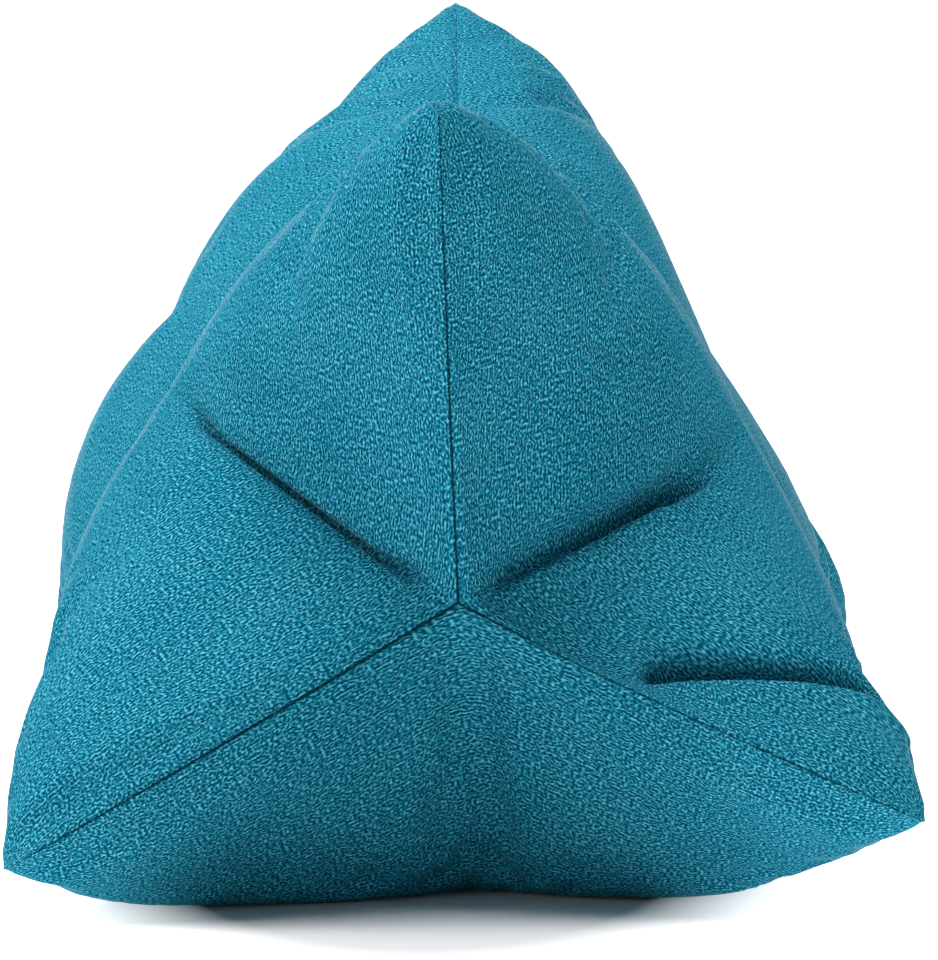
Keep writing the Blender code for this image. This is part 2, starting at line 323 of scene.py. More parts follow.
@dataclass
class PillowForm:
    """The filled pillow's form: seams on crests, creases on the middle lines, blunt ears."""

    pole_height: float = 0.072
    panel_half: float = 0.218
    tip_radius: float = 0.117
    shoulder_radius: float = 0.081
    top_seam_angle: float = 90.0
    left_panel_angle: float = 150.0
    third_turn: float = 120.0
    edge_blend: float = 0.012
    seam_lean: float = 16.0
    crease_reach: float = 0.34
    end_seam_bow: float = 0.009
    end_seam_bow_fade: float = 0.028
    swell_outward: float = 0.8
    swell_endward: float = 0.6
    pressed_place: float = 0.060
    pressed_width: float = 0.060
    pressed_out: float = 0.022
    pressed_end: float = 0.011
    ear_lean: float = 0.7
    ear_spread: float = 0.72
    cap_start: float = 0.45
    cap_fade: float = 0.30
    cap_limit: float = 2.0
    floor_softness: float = 0.004
    fold_samples: int = 161
    fold_fade: float = 0.25
    fold_edge: float = 0.012
    fold_side: float = 0.10
    lip_place: float = 0.0045
    lip_width: float = 0.0050
    overhang_width: float = 0.0030
    soft_width: float = 0.10
    soft_reach: float = 0.42
    soft_edge: float = 0.010
    soft_gain: float = 2.0

    @property
    def panel_length(self) -> float:
        """The length of a panel between its short edges."""
        return 2.0 * self.panel_half

    def from_edge(self, place: Array) -> Array:
        """Gives the distance to the nearer short edge."""
        return self.panel_half - np.abs(place - self.panel_half)

    def end_side(self, place: Array) -> Array:
        """Gives the sign of Y of the end that each place belongs to."""
        return np.where(place < self.panel_half, End.NEAR.value, End.FAR.value)

    def read_rows(self, column: str, place: Array) -> Array:
        """Reads one column of the row table at distances from the short edge."""
        at = np.array([row.place for row in ROWS])
        return smooth_read(at, np.array([getattr(row, column) for row in ROWS]), place, flat_end=True)

    def toward_end(self, near: float, far: float, waist: float, place: Array) -> Array:
        """Mixes the waist's value into that of the end on the same half.

        Args:
            near: The value at the near end.
            far: The value at the far end.
            waist: The value at the waist.
            place: The places along the panel.

        Returns:
            The mixed values.
        """
        weight = 1.0 - ease(self.from_edge(place) / self.panel_half)
        return waist + (np.where(place < self.panel_half, near, far) - waist) * weight

    def seam_line(self, index: int, place: Array) -> tuple[Array, Array]:
        """Draws a long seam.

        Args:
            index: Which seam.
            place: The places along it.

        Returns:
            Its points and its outward directions.
        """
        near, far = SEAMS[index].near, SEAMS[index].far
        angle = self.toward_end(near.angle, far.angle, self.top_seam_angle + self.third_turn * index, place)
        scale = self.toward_end(near.reach / self.tip_radius, far.reach / self.tip_radius, 1.0, place)
        radius = self.read_rows("seam_radius", self.from_edge(place)) * scale
        y = self.read_rows("seam_y", self.from_edge(place)) * self.end_side(place)
        return polar(angle, radius, y), polar(angle, np.ones_like(place), np.zeros_like(place))

    def middle_line(self, index: int, place: Array) -> tuple[Array, Array]:
        """Draws a panel's middle line, which dives into a crease at both ends.

        Args:
            index: Which panel.
            place: The places along it.

        Returns:
            Its points and its outward directions.
        """
        near, far = PANELS[index].near, PANELS[index].far
        angle = self.toward_end(near.angle, far.angle, self.left_panel_angle + self.third_turn * index, place)
        scale = self.toward_end(
            near.shoulder / self.shoulder_radius, far.shoulder / self.shoulder_radius, 1.0, place
        )
        inner = self.from_edge(place)
        pressed = np.where(place < self.panel_half, near.pressed, far.pressed)
        pressed = pressed * ease(1.0 - np.abs(inner - self.pressed_place) / self.pressed_width)
        radius = self.read_rows("middle_radius", inner) * scale + pressed * self.pressed_out
        y = (self.read_rows("middle_y", inner) + pressed * self.pressed_end) * self.end_side(place)
        return polar(angle, radius, y), polar(angle, np.ones_like(place), np.zeros_like(place))

    def half_panel(self, index: int, seam: int, turn: Turn, place: Array, across: Array) -> Array:
        """Builds the half of a panel between its middle line and one seam.

        Args:
            index: Which panel.
            seam: Which seam bounds the half.
            turn: The side of the middle line.
            place: The places of the rows.
            across: The steps across, 0 at the middle line and 1 at the seam.

        Returns:
            A grid of points, rows by steps.
        """
        panel, ears = PANELS[index], SEAMS[seam]
        inner, near_half = self.from_edge(place), place < self.panel_half
        endward = self.end_side(place)[:, None] * ALONG
        middle, middle_out = self.middle_line(index, place)
        edge, edge_out = self.seam_line(seam, place)
        chord = np.linalg.norm(middle - edge, axis=-1, keepdims=True)

        tip = self.seam_line(seam, np.where(near_half, 0.0, self.panel_length))[0]
        arm = unit(tip - endward * ROWS[0].middle_y)
        blend = ease(inner / self.edge_blend)[:, None]

        sideways = np.cross(middle_out, ALONG) * turn.value
        course = unit(np.gradient(middle, axis=0))
        lift = unit(np.cross(course, sideways))
        lift = lift * np.sign(np.sum(lift * (middle_out + endward), axis=-1, keepdims=True))
        crease = self.toward_end(panel.near.crease, panel.far.crease, 1.0, place)
        rise = np.radians(self.read_rows("rise", inner) * crease)[:, None]
        leave = (1 - blend) * arm + blend * unit(np.cos(rise) * sideways + np.sin(rise) * lift)

        lean = math.radians(self.seam_lean)
        inward = -math.cos(lean) * edge_out - math.sin(lean) * endward
        edge_sideways = np.cross(edge_out, ALONG) * -turn.value
        bend = np.radians(self.read_rows("turn", inner))[:, None]
        arrive = (1 - blend) * -arm + blend * unit(np.cos(bend) * inward + np.sin(bend) * edge_sideways)

        fullness = np.where(
            near_half, ears.near.fullness * panel.near.fullness, ears.far.fullness * panel.far.fullness
        )
        swell = unit(unit(middle_out + edge_out) * self.swell_outward + endward * self.swell_endward)
        swell = swell * (self.read_rows("lobe", inner) * fullness)[:, None]
        swell = swell + endward * (self.end_seam_bow * (1 - ease(inner / self.end_seam_bow_fade)))[:, None]
        start_pull = unit(leave) * chord * self.crease_reach + swell
        end_pull = unit(arrive) * chord * self.read_rows("reach", inner)[:, None] + swell
        t = across[None, :, None]
        rest = 1.0 - t
        ends = rest**3 * middle[:, None] + t**3 * edge[:, None]
        first = 3 * rest**2 * t * (middle + start_pull)[:, None]
        second = 3 * rest * t**2 * (edge + end_pull)[:, None]
        return ends + first + second

    def blunt_tip(self, points: Array, tip: Array, outward: Array, end: End, cap: float) -> Array:
        """Rounds one ear off at its tip.

        Args:
            points: The points of the pillow.
            tip: The sharp tip.
            outward: The direction from the long axis to the tip.
            end: The end that the ear is on.
            cap: The radius of the rounding.

        Returns:
            The points with that ear rounded.
        """
        axis = unit(outward + ALONG * end.value * self.ear_lean)
        away = points - (tip - axis * cap / self.ear_spread)
        size = np.maximum(np.linalg.norm(away, axis=-1, keepdims=True), SMALLEST)
        ahead = np.sum(away * axis, axis=-1, keepdims=True) / size
        weight = ease((ahead - self.cap_start) / self.cap_fade) * (size > cap) * (size < self.cap_limit * cap)
        return points - weight * away * (1.0 - cap / size)

    def blunt_tips(self, points: Array) -> Array:
        """Rounds the six ears off at their tips."""
        for index, seam in enumerate(SEAMS):
            for place, end, ear in ((0.0, End.NEAR, seam.near), (self.panel_length, End.FAR, seam.far)):
                tip, outward = self.seam_line(index, np.array([place]))
                points = self.blunt_tip(points, tip[0], outward[0], end, ear.cap)
        return points

    def normals(self, grid: Array) -> Array:
        """Gives the outward directions of a panel, as seen from the height of the end's middle.

        Args:
            grid: The panel's points.

        Returns:
            A direction for each point.
        """
        normal = unit(np.cross(np.gradient(grid, axis=1), np.gradient(grid, axis=0)))
        from_middle = (grid - UP * self.pole_height) * (1.0 - ALONG)
        return normal * np.sign(np.median(np.sum(normal * from_middle, axis=-1)))

    def trace_fold(self, sheet: Sheet, fold: Fold) -> FoldTrace:
        """Measures where the points of a panel lie beside a crease.

        Args:
            sheet: The panel.
            fold: The crease.

        Returns:
            The measures of every point.
        """
        t = np.linspace(0.0, 1.0, self.fold_samples)
        first, middle, last = (1 - t) ** 2, 2 * t * (1 - t), t * t
        at_place = first * fold.start_place + middle * fold.bend_place + last * fold.end_place
        at_across = first * fold.start_across + middle * fold.bend_across + last * fold.end_across
        path = sheet.read(at_place, at_across)
        apart = np.linalg.norm(sheet.points[:, :, None, :] - path, axis=-1)
        nearest, gap = np.argmin(apart, axis=-1), np.min(apart, axis=-1)
        normal = self.normals(sheet.points)
        course = unit(np.gradient(path, axis=0))[nearest]
        side = unit(np.cross(normal, course)) * (np.sign(fold.lip) or 1.0)
        beside = np.sum((sheet.points - path[nearest]) * side, axis=-1)
        strength = ease(np.minimum(t, 1 - t) / self.fold_fade)[nearest]
        strength = strength * ease(self.from_edge(sheet.place) / self.fold_edge)[:, None]
        strength = strength * ease((1 - np.abs(sheet.columns)) / self.fold_side)
        return FoldTrace(normal, side, beside, gap, strength)

    def press_fold(self, sheet: Sheet, fold: Fold) -> Array:
        """Presses one crease into a panel and raises the cloth beside it.

        Args:
            sheet: The panel.
            fold: The crease.

        Returns:
            The panel's points with the crease.
        """
        at = self.trace_fold(sheet, fold)
        groove = fold.depth * bell(at.gap / np.where(at.beside > 0.0, fold.steep, fold.width))
        past = np.abs(at.gap - np.abs(at.beside)) / fold.width
        ridge = abs(fold.lip) * np.exp(-(((at.beside - self.lip_place) / self.lip_width) ** 2) - past**2)
        over = fold.overhang * np.exp(-((at.beside / self.overhang_width - 1.0) ** 2) - past**2)
        moved = at.normal * (ridge - groove)[..., None] - at.side * over[..., None]
        return sheet.points + moved * at.strength[..., None]

    def soften(self, sheet: Sheet, panel: Panel) -> Array:
        """Rounds a panel's middle line off into a soft trough.

        Args:
            sheet: The panel's points.
            panel: Its sizes, with the softness of each end.

        Returns:
            The points with the softened middle.
        """
        spread = bell((sheet.columns[:, None] - sheet.columns) / self.soft_width) * np.gradient(sheet.columns)
        softened = np.einsum("ij,rjk->rik", spread / spread.sum(axis=1, keepdims=True), sheet.points)
        share = self.toward_end(panel.near.softness, panel.far.softness, 0.0, sheet.place)
        share = ease(share * self.soft_gain) * ease(self.from_edge(sheet.place) / self.soft_edge)
        share = share[:, None] * (1 - ease(np.abs(sheet.columns) / self.soft_reach))
        return sheet.points + (softened - sheet.points) * share[..., None]

    def settle(self, points: Array) -> Array:
        """Raises the pillow to its height and flattens it where it lies."""
        height = points[..., 2] + self.pole_height
        return np.concatenate([points[..., :2], self.rest(height)[..., None]], axis=-1)

    def rest(self, height: Array) -> Array:
        """Keeps heights above the floor, with a soft turn into the flat."""
        soft = (height + self.floor_softness) ** 2 / (4 * self.floor_softness)
        return np.where(np.abs(height) < self.floor_softness, soft, np.maximum(height, 0.0))

    def points(self, place: Array, across: Array) -> Array:
        """Builds the three panels of the pillow as it lies.

        Args:
            place: The places of the rows, from the near short edge to the far one.
            across: The steps across a half, from 0 at the middle line to 1 at the seam.

        Returns:
            The points, panels by rows by columns.
        """
        halves = [
            (
                self.half_panel(index, panel.first_seam, Turn.FIRST, place, across)[:, :0:-1],
                self.half_panel(index, panel.second_seam, Turn.SECOND, place, across),
            )
            for index, panel in enumerate(PANELS)
        ]
        grids = self.blunt_tips(np.stack([np.concatenate(pair, axis=1) for pair in halves]))
        columns = both_sides(across)
        for index, panel in enumerate(PANELS):
            grids[index] = self.soften(Sheet(grids[index], place, columns), panel)
        for fold in FOLDS:
            grids[fold.panel] = self.press_fold(Sheet(grids[fold.panel], place, columns), fold)
        grids = self.settle(grids)
        low, high = grids.min(axis=(0, 1, 2)), grids.max(axis=(0, 1, 2))
        return grids - (low + high) / 2 * (1.0 - UP)


@dataclass
class Net:
    """Three panel grids sewn to each other into one closed surface."""

    grids: Array
    weld: float = 0.00001
    first: Array = field(init=False)
    index: Array = field(init=False)
    seam: Array = field(init=False)

    def __post_init__(self) -> None:
        """Finds which points of the grids are one point of the surface, and which lie on a seam."""
        flat = self.grids.reshape(-1, 3)
        number = np.arange(len(flat)).reshape(self.grids.shape[:3])
        rim = np.zeros(self.grids.shape[:3], bool)
        rim[:, [0, -1]] = rim[:, :, [0, -1]] = True
        edge = number[rim]
        apart = np.linalg.norm(flat[edge][:, None] - flat[edge][None], axis=-1)
        same = np.arange(len(flat))
        same[edge] = edge[np.argmax(apart < self.weld, axis=1)]
        self.first, merged = np.unique(same, return_inverse=True)
        self.index = merged.reshape(self.grids.shape[:3])
        self.seam = np.unique(self.index[rim])

    @property
    def points(self) -> Array:
        """The points of the closed surface."""
        return self.grids.reshape(-1, 3)[self.first]

    def make(self, name: str) -> bpy.types.Object:
        """Makes a smooth mesh object of the surface and links it to the scene.

        Args:
            name: The object's name.

        Returns:
            The object.
        """
        mesh = bpy.data.meshes.new(name)
        mesh.from_pydata(self.points.tolist(), [], face_corners(self.index).reshape(-1, 4).tolist())
        mesh.update()
        mesh.shade_smooth()
        return put_in_scene(name, mesh)


def put_in_scene(name: str, data: bpy.types.ID) -> bpy.types.Object:
    """Makes an object of its data and links it to the scene.

    Args:
        name: The object's name.
        data: Its mesh, light or camera.

    Returns:
        The object.
    """
    piece = bpy.data.objects.new(name, data)
    bpy.context.scene.collection.objects.link(piece)
    return piece


def set_inputs(node: bpy.types.Node, values: dict[str, object]) -> None:
    """Sets the named inputs of a node to plain values."""
    for name, value in values.items():
        node.inputs[name].default_value = value


def read_vectors(items: bpy.types.bpy_prop_collection, name: str) -> Array:
    """Reads one vector of every item of a mesh.

    Args:
        items: The mesh's points or their normals.
        name: Which of their properties is read.

    Returns:
        The vectors.
    """
    flat = np.empty(len(items) * 3)
    items.foreach_get(name, flat)
    return flat.reshape(-1, 3)


def discard(piece: bpy.types.Object) -> None:
    """Removes a piece that was only a step on the way, with its mesh.

    Args:
        piece: The piece.
    """
    mesh = piece.data
    bpy.data.objects.remove(piece)
    bpy.data.meshes.remove(mesh)


@dataclass
class Filling:
    """The filling, which presses the cover out between its seams until the cloth holds it."""

    rows: int = 96
    steps: int = 26
    pressure: float = 4.0
    spare_cloth: float = 0.02
    frames: int = 20
    quality: int = 5
    cloth_mass: float = 0.2
    stretch_stiffness: float = 25.0
    shear_stiffness: float = 8.0
    bending_stiffness: float = 0.3
    held_near_seam: float = 0.012
    held_near_floor: float = 0.006
    most_movement: float = 0.003
    swelling_kept: float = 0.15
    swelling_rows: float = 0.045
    swelling_columns: float = 0.35
    sewn_rows: float = 0.055
    sewn_columns: float = 0.14

    def movement(self, form: PillowForm, place: Array, across: Array) -> Array:
        """Finds how far the filling moves each point of a finer grid.

        Args:
            form: The pillow's form.
            place: The rows of the finer grid.
            across: The steps across a half of the finer grid.

        Returns:
            The movement of each point, panels by rows by columns.
        """
        own_place = np.linspace(0.0, form.panel_length, self.rows + 1)
        own_across = np.linspace(0.0, 1.0, self.steps + 1)
        net = Net(form.points(own_place, own_across))
        before = net.points
        after = self.press(net.make("cover_under_pressure"), net)
        moved = after - before
        size = np.linalg.norm(moved, axis=-1, keepdims=True)
        moved = moved * np.tanh(size / self.most_movement) * self.most_movement / np.maximum(size, SMALLEST)
        columns, finer = both_sides(own_across), both_sides(across)
        free = ease(form.from_edge(own_place) / self.sewn_rows)[:, None, None]
        free = free * ease((1.0 - np.abs(columns)) / self.sewn_columns)[:, None]
        wrinkles = [self.level(one, own_place, columns) * free for one in moved[net.index]]
        return np.stack([self.refine(one, own_place, columns, place, finer) for one in wrinkles])

    def level(self, moves: Array, rows: Array, columns: Array) -> Array:
        """Takes most of the even swelling out of a panel's movement, which leaves its wrinkles.

        Args:
            moves: The movement on the coarse grid.
            rows: The coarse rows.
            columns: The coarse columns.

        Returns:
            The movement without that swelling.
        """
        down = bell((rows[:, None] - rows) / self.swelling_rows)
        over = bell((columns[:, None] - columns) / self.swelling_columns)
        down, over = (part / part.sum(axis=1, keepdims=True) for part in (down, over))
        swelling = np.einsum("ij,jkc,lk->ilc", down, moves, over)
        return moves - (1.0 - self.swelling_kept) * swelling

    def refine(self, moves: Array, rows: Array, columns: Array, to_rows: Array, to_columns: Array) -> Array:
        """Carries one panel's movement over to a finer grid.

        Args:
            moves: The movement on the coarse grid.
            rows: The coarse rows.
            columns: The coarse columns.
            to_rows: The finer rows.
            to_columns: The finer columns.

        Returns:
            The movement on the finer grid.
        """
        down = smooth_read(rows, moves, to_rows)
        return smooth_read(columns, down.transpose(1, 0, 2), to_columns).transpose(1, 0, 2)

    def press(self, cover: bpy.types.Object, net: Net) -> Array:
        """Fills a coarse cover with the Cloth simulation and removes it again.

        Args:
            cover: The coarse cover.
            net: The net that it was made from.

        Returns:
            Where the simulation leaves each point.
        """
        points = read_vectors(cover.data.vertices, "co")
        gap, _ = gaps_to(points, net.seam)
        held = np.maximum(1 - ease(gap / self.held_near_seam), 1 - ease(points[:, 2] / self.held_near_floor))
        group = cover.vertex_groups.new(name="held")
        for number, weight in enumerate(held):
            group.add([number], float(weight), "REPLACE")
        cloth = cover.modifiers.new("filling", "CLOTH")
        settings = cloth.settings
        settings.quality = self.quality
        settings.mass = self.cloth_mass
        settings.tension_stiffness = self.stretch_stiffness
        settings.compression_stiffness = self.stretch_stiffness
        settings.shear_stiffness = self.shear_stiffness
        settings.bending_stiffness = self.bending_stiffness
        settings.use_pressure = True
        settings.uniform_pressure_force = self.pressure
        settings.shrink_min = -self.spare_cloth
        settings.vertex_group_mass = group.name
        settings.effector_weights.gravity = 0.0
        cloth.collision_settings.use_collision = False
        scene = bpy.context.scene
        for number in range(1, self.frames + 1):
            scene.frame_set(number)
        bpy.ops.object.select_all(action="DESELECT")
        cover.select_set(True)
        bpy.context.view_layer.objects.active = cover
        bpy.ops.object.modifier_apply(modifier=cloth.name)
        after = read_vectors(cover.data.vertices, "co")
        discard(cover)
        scene.frame_set(1)
        return after


@dataclass(frozen=True)
class Gather:
    """One wave of the small gathers: its course through the pillow and its length."""

    course: Triple
    pitch: float


@dataclass
class SewnSeam:
    """The seams' look: cloth rounded over by the filling, a fine drawn-in line and small gathers."""

    depth: float = 0.0007
    width: float = 0.0009
    groove_power: float = 1.5
    roll: float = 0.00025
    roll_place: float = 0.0030
    roll_width: float = 0.0016
    round_reach: float = 0.012
    round_share: float = 0.5
    round_at_tips: float = 0.6
    rounds: int = 26
    gathers: tuple[Gather, ...] = (Gather((1.9, 1.0, 1.4), 0.0083), Gather((0.7, 1.3, -1.1), 0.01411))
    gather_height: float = 0.00010
    gather_reach: float = 0.0060
    tip_reach: float = 0.012
    reach: float = 0.016
    long_seam_fade: float = 0.0004

    def clear_of_tips(self, net: Net) -> Array:
        """Gives 0 at the tips of the ears, rising to 1 a little away from them.

        Args:
            net: The sewn net.

        Returns:
            A share for each point.
        """
        tips = net.grids[:, [0, 0, -1, -1], [0, -1, 0, -1]].reshape(-1, 3)
        from_tip = np.min(np.linalg.norm(net.points[:, None] - tips, axis=-1), axis=1)
        return ease(from_tip / self.tip_reach)

    def round_over(self, net: Net) -> None:
        """Rounds the cloth beside the seams, where the filling keeps it from folding sharply.

        Args:
            net: The sewn net, whose grids are changed.
        """
        points, index = net.points, net.index
        gap, _ = gaps_to(points, net.seam)
        clear = self.round_at_tips + (1.0 - self.round_at_tips) * self.clear_of_tips(net)
        share = self.round_share * (1.0 - ease(gap / self.round_reach)) * clear
        pairs = [(index[:, :-1], index[:, 1:]), (index[:, :, :-1], index[:, :, 1:])]
        first = np.concatenate([part.ravel() for pair in pairs for part in pair])
        other = np.concatenate([part.ravel() for pair in pairs for part in pair[::-1]])
        pull = 1.0 / np.maximum(np.linalg.norm(points[first] - points[other], axis=1), SMALLEST)
        whole = np.bincount(first, weights=pull)[:, None]
        for _ in range(self.rounds):
            pulled = [np.bincount(first, weights=pull * points[other, axis]) for axis in range(3)]
            points = points + share[:, None] * (np.stack(pulled, axis=1) / whole - points)
        net.grids = points[index]

    def press(self, net: Net) -> Array:
        """Rounds the cover over and draws it in along its seams.

        Args:
            net: The sewn net, whose grids are changed.

        Returns:
            How far each point lies from a seam, with a little added at the long seams, which makes their
            painted seam shade fainter.
        """
        self.round_over(net)
        sample = net.make("cover_before_sewing")
        normals = read_vectors(sample.data.vertex_normals, "vector")
        discard(sample)
        points = net.points
        gap, nearest = gaps_to(points, net.seam)
        seam_at = points[nearest]
        inward = -unit(normals[nearest] + normals) * self.clear_of_tips(net)[:, None]
        waves = [np.sin(seam_at @ np.array(one.course) * 2 * math.pi / one.pitch) for one in self.gathers]
        drawn = self.depth * np.exp(-((gap / self.width) ** self.groove_power))
        raised = self.roll * bell((gap - self.roll_place) / self.roll_width)
        gathered = self.gather_height * sum(waves) * bell(gap / self.gather_reach) * ease(gap / self.width)
        moved = inward * (drawn - raised - gathered)[:, None]
        net.grids = (points + moved)[net.index]
        short = np.isin(nearest, net.index[:, [0, -1]])
        return np.minimum(gap + np.where(short, 0.0, self.long_seam_fade), self.reach)


@dataclass
class NodeBench:
    """A node tree under construction, with short ways to add and join its nodes."""

    tree: bpy.types.NodeTree

    def join(self, source: object, target: Socket) -> None:
        """Links a socket to an input, or sets the input to a plain value."""
        if isinstance(source, Socket):
            self.tree.links.new(source, target)
        else:
            target.default_value = source

    def work(self, kind: str, operation: str, *values: object) -> bpy.types.Node:
        """Adds a node that reckons with numbers or vectors.

        Args:
            kind: The type of the node.
            operation: What it does.
            values: Sockets or plain values for its inputs.

        Returns:
            The node.
        """
        node = self.tree.nodes.new(kind)
        node.operation = operation
        for value, target in zip(values, node.inputs):
            self.join(value, target)
        return node

    def reckon(self, operation: str, *values: object) -> Socket:
        """Adds a Math node and gives its result."""
        return self.work("ShaderNodeMath", operation, *values).outputs[0]

    def swing(self, noise: Socket, size: object) -> Socket:
        """Centres a noise on zero and sizes it."""
        return self.reckon("MULTIPLY", self.reckon("SUBTRACT", noise, NOISE_MIDDLE), size)

    def noise(
        self, side: object, along: object, size_side: object, size_along: object, detail: float = 0.0
    ) -> Socket:
        """Adds a flat noise with its own grain size in each direction.

        Args:
            side: The place across the cloth.
            along: The place along the cloth.
            size_side: The size of the grain across.
            size_along: The size of the grain along.
            detail: How many finer layers the noise has.

        Returns:
            The noise's socket, from 0 to 1.
        """
        place = self.tree.nodes.new("ShaderNodeCombineXYZ")
        self.join(self.reckon("DIVIDE", side, size_side), place.inputs[0])
        self.join(self.reckon("DIVIDE", along, size_along), place.inputs[1])
        noise = self.tree.nodes.new("ShaderNodeTexNoise")
        noise.noise_dimensions = "2D"
        set_inputs(noise, {"Scale": 1.0, "Detail": detail})
        self.join(place.outputs[0], noise.inputs["Vector"])
        return noise.outputs["Fac"]

    def blend(self, factor: object, first: object, second: object) -> Socket:
        """Adds a colour mix.

        Args:
            factor: The share of the second colour.
            first: The first colour.
            second: The second colour.

        Returns:
            The mixed colour's socket.
        """
        node = self.tree.nodes.new("ShaderNodeMix")
        node.data_type = "RGBA"
        for name, value in (("Factor", factor), ("A", first), ("B", second)):
            self.join(value, node.inputs[name])
        return node.outputs["Result"]

    def stretch(self, value: object, low: float, high: float, to_low: float, to_high: float) -> Socket:
        """Adds a Map Range node.

        Args:
            value: What is mapped.
            low: The value that gives the first result.
            high: The value that gives the second result.
            to_low: The first result.
            to_high: The second result.

        Returns:
            The result's socket.
        """
        node = self.tree.nodes.new("ShaderNodeMapRange")
        set_inputs(node, {"From Min": low, "From Max": high, "To Min": to_low, "To Max": to_high})
        self.join(value, node.inputs["Value"])
        return node.outputs["Result"]


# The inputs of the grain's node group. Each is filled from the finish's field of the same name.
GRAIN_SIZES = ("Pitch", "Grain Side", "Grain Along", "Wander", "Wander Size", "Row Share", "Fibre Size")


@dataclass(frozen=True)
class CrinkledWeave:
    """The cloth: a turquoise crepe whose short crinkled grains lie in rows along the short edges, with
    painted shade in the hollows between grains and painted highlights on their tops.
    """

    name: str = "crinkled_weave"
    # The three tones are partly the weave's own colour and partly painted light: the dark deep tone is
    # painted shade in the hollows between the grains, and the pale raised tone is a painted highlight on
    # their tops.
    deep: Triple = (0.0002, 0.080, 0.152)
    middle: Triple = (0.0064, 0.222, 0.338)
    raised: Triple = (0.108, 0.535, 0.698)
    middle_height: float = 0.5
    # The seam line is painted shade: a dark colour mixed in within a fraction of a millimetre of each seam,
    # where the turned-in groove lies in shadow.
    painted_seam_shade: Triple = (0.001, 0.020, 0.040)
    seam_cover: float = 0.92
    seam_dark: float = 0.00020
    seam_clear: float = 0.00065
    pitch: float = 0.00090
    grain_side: float = 0.00074
    grain_along: float = 0.00052
    wander: float = 0.0008
    wander_size: float = 0.0022
    wander_detail: float = 1.0
    row_share: float = 0.34
    grain_gain: float = 2.7
    fibre_share: float = 0.55
    fibre_size: float = 0.00030
    relief: float = 0.0007
    cloud_size: float = 0.030
    cloud_detail: float = 2.0
    cloud: float = 0.20
    roughness: float = 0.88
    facing_blend: float = 0.5
    sheen: float = 0.6
    sheen_start: float = 0.82
    sheen_roughness: float = 0.30
    sheen_tint: Triple = (0.70, 0.92, 1.0)
    specular: float = 0.0

    def grain_group(self) -> bpy.types.NodeTree:
        """Builds the grain of the weave as a shader node group.

        Returns:
            A group with the place on the cloth in metres in, and a height from 0 to 1 out.
        """
        group = bpy.data.node_groups.new("weave_grain", "ShaderNodeTree")
        face = group.interface
        face.new_socket(name="Cloth", in_out="INPUT", socket_type="NodeSocketVector")
        for name in GRAIN_SIZES:
            face.new_socket(name=name, in_out="INPUT", socket_type="NodeSocketFloat")
        face.new_socket(name="Height", in_out="OUTPUT", socket_type="NodeSocketFloat")
        bench = NodeBench(group)
        given = group.nodes.new("NodeGroupInput").outputs
        apart = group.nodes.new("ShaderNodeSeparateXYZ")
        bench.join(given["Cloth"], apart.inputs[0])
        side, along = apart.outputs[0], apart.outputs[1]

        drift = bench.noise(side, along, given["Wander Size"], given["Wander Size"], self.wander_detail)
        along = bench.reckon("ADD", along, bench.swing(drift, given["Wander"]))
        turns = bench.reckon("MULTIPLY", bench.reckon("DIVIDE", along, given["Pitch"]), 2.0 * math.pi)
        rows = bench.reckon("MULTIPLY_ADD", bench.reckon("SINE", turns), 0.5, 0.5)
        grain = bench.noise(side, along, given["Grain Side"], given["Grain Along"])
        grain = bench.reckon("SUBTRACT", grain, NOISE_MIDDLE)
        grain = bench.reckon("MULTIPLY_ADD", grain, self.grain_gain, NOISE_MIDDLE)
        fibre = bench.noise(side, along, given["Fibre Size"], given["Fibre Size"])
        fibre = bench.swing(fibre, self.fibre_share)
        mixed = bench.reckon("MULTIPLY", bench.reckon("SUBTRACT", rows, grain), given["Row Share"])
        height = bench.reckon("ADD", bench.reckon("ADD", mixed, grain), fibre)
        held = bench.reckon("MINIMUM", bench.reckon("MAXIMUM", height, 0.0), 1.0)
        bench.join(held, group.nodes.new("NodeGroupOutput").inputs["Height"])
        return group

    def material(self) -> bpy.types.Material:
        """Makes the cloth's material.

        Returns:
            A material that reads the piece's own UV map and its seam attribute.
        """
        material = bpy.data.materials.new(self.name)
        material.use_nodes = True
        bench = NodeBench(material.node_tree)
        nodes = material.node_tree.nodes
        shader = nodes["Principled BSDF"]
        sheen = {"Sheen Roughness": self.sheen_roughness, "Sheen Tint": opaque(self.sheen_tint)}
        set_inputs(shader, {"Roughness": self.roughness, "Specular IOR Level": self.specular, **sheen})

        cloth = nodes.new("ShaderNodeUVMap")
        cloth.uv_map = "cloth"
        grain = nodes.new("ShaderNodeGroup")
        grain.node_tree = self.grain_group()
        bench.join(cloth.outputs["UV"], grain.inputs["Cloth"])
        set_inputs(grain, {name: getattr(self, name.lower().replace(" ", "_")) for name in GRAIN_SIZES})
        height = grain.outputs["Height"]

        apart = nodes.new("ShaderNodeSeparateXYZ")
        bench.join(cloth.outputs["UV"], apart.inputs[0])
        cloud = bench.noise(
            apart.outputs[0], apart.outputs[1], self.cloud_size, self.cloud_size, self.cloud_detail
        )
        level = bench.reckon("ADD", height, bench.swing(cloud, self.cloud))
        # Painted shade and highlight: the grain height picks the tone, darker in the hollows and paler on the
        # tops.
        lower = bench.stretch(level, 0.0, self.middle_height, 0.0, 1.0)
        upper = bench.stretch(level, self.middle_height, 1.0, 0.0, 1.0)
        tone = bench.blend(lower, opaque(self.deep), opaque(self.middle))
        tone = bench.blend(upper, tone, opaque(self.raised))
